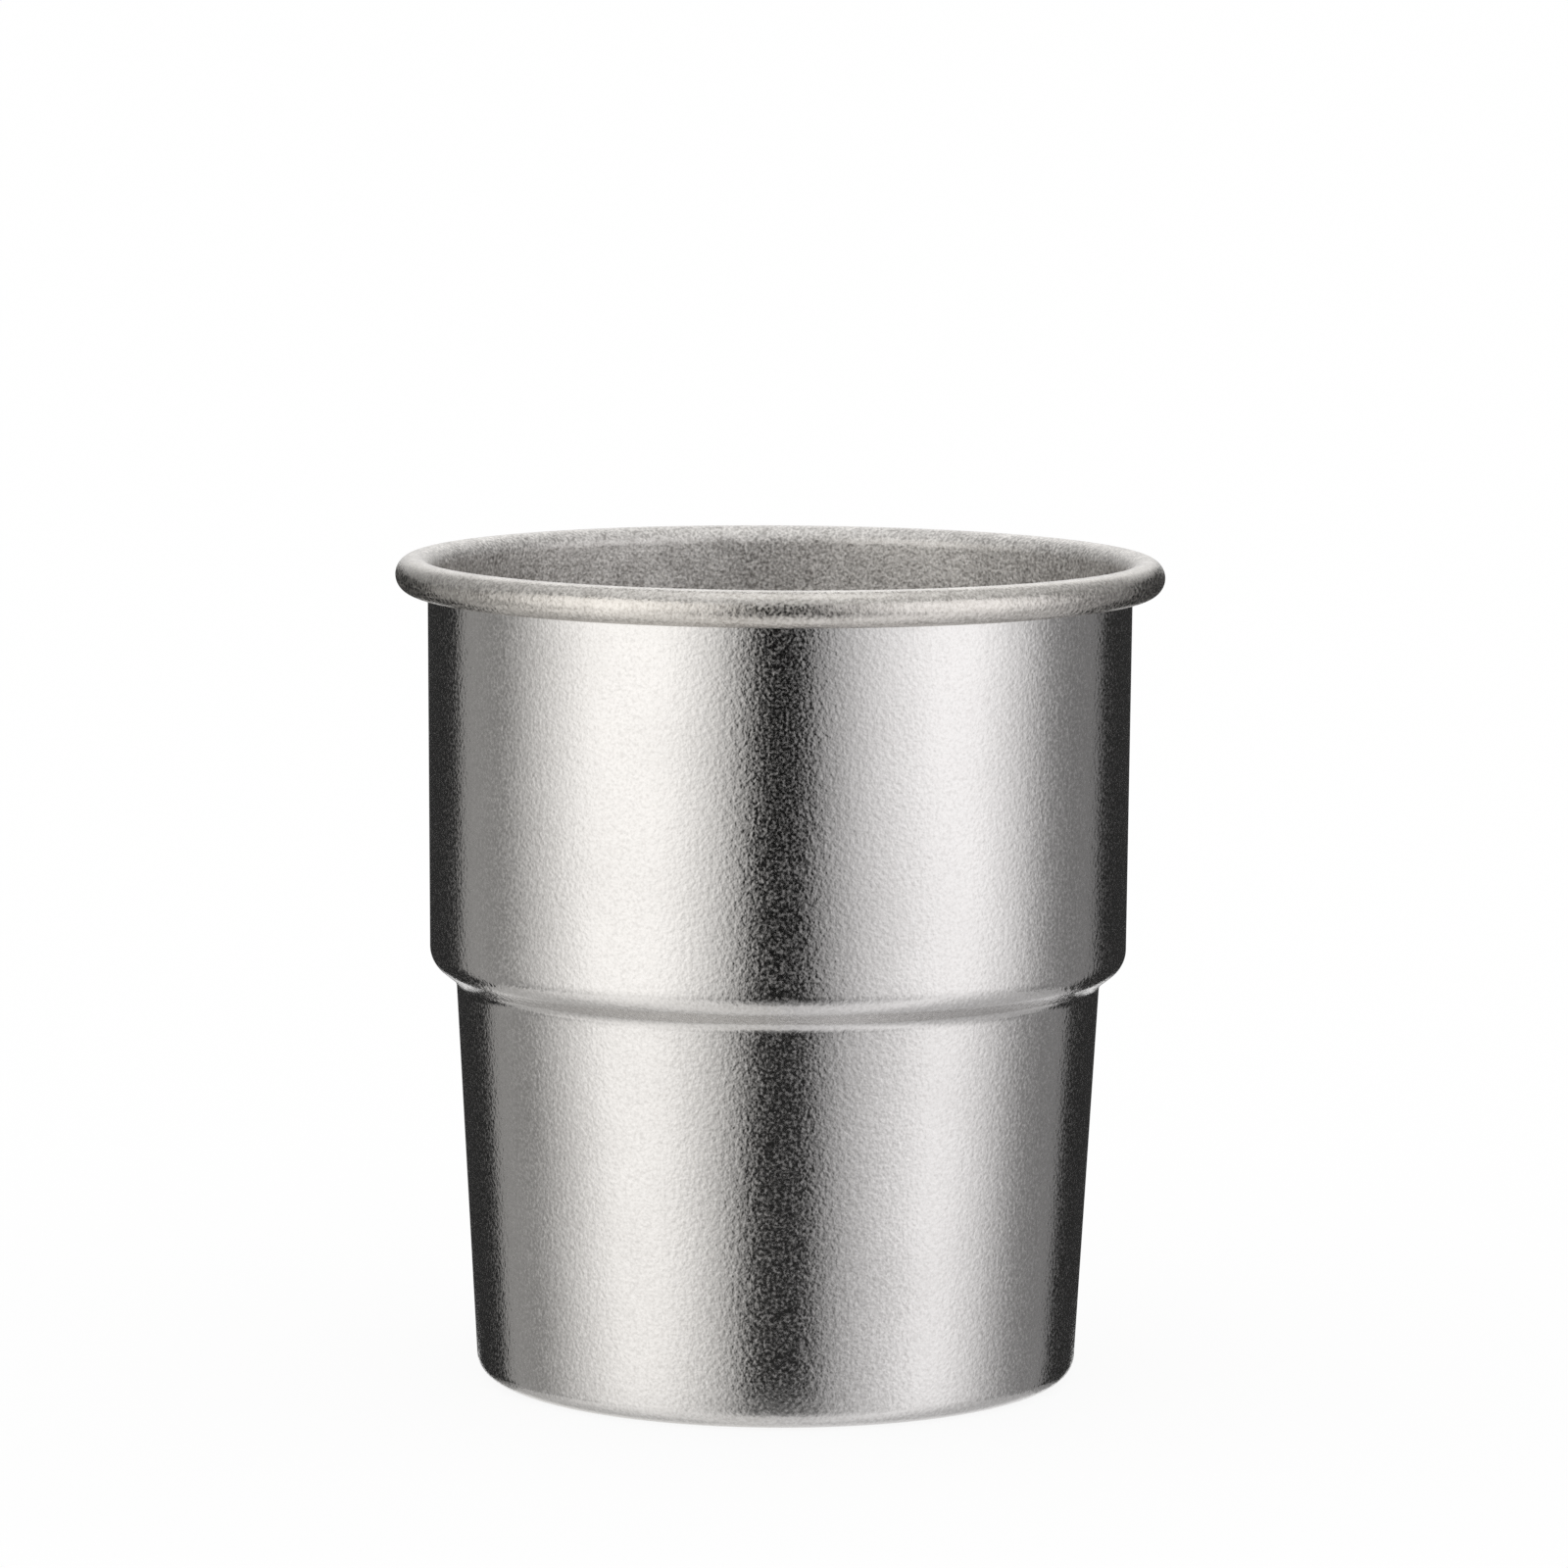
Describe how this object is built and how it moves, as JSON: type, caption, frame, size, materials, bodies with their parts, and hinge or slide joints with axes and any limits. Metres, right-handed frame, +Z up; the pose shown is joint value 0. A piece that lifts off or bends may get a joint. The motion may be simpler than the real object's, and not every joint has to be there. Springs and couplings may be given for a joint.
{
  "type": "titanium cup",
  "caption": "Single-walled titanium cup with a rolled rim, a nearly straight upper barrel, a rounded shoulder stepping in to a tapered lower barrel, and a flat recessed base.",
  "frame": {"origin": "centre of the face that the cup stands on", "axes": "+Z up along the cup's axis of revolution, towards the mouth"},
  "size_m": [0.08, 0.08, 0.086],
  "materials": {
    "titanium": "bare titanium, finely blasted, satin grey with a slight warm cast"
  },
  "bodies": {
    "root": {"rim_curl": "titanium", "upper_wall": "titanium", "shoulder": "titanium", "lower_wall": "titanium", "base": "titanium"}
  },
  "joints": []
}
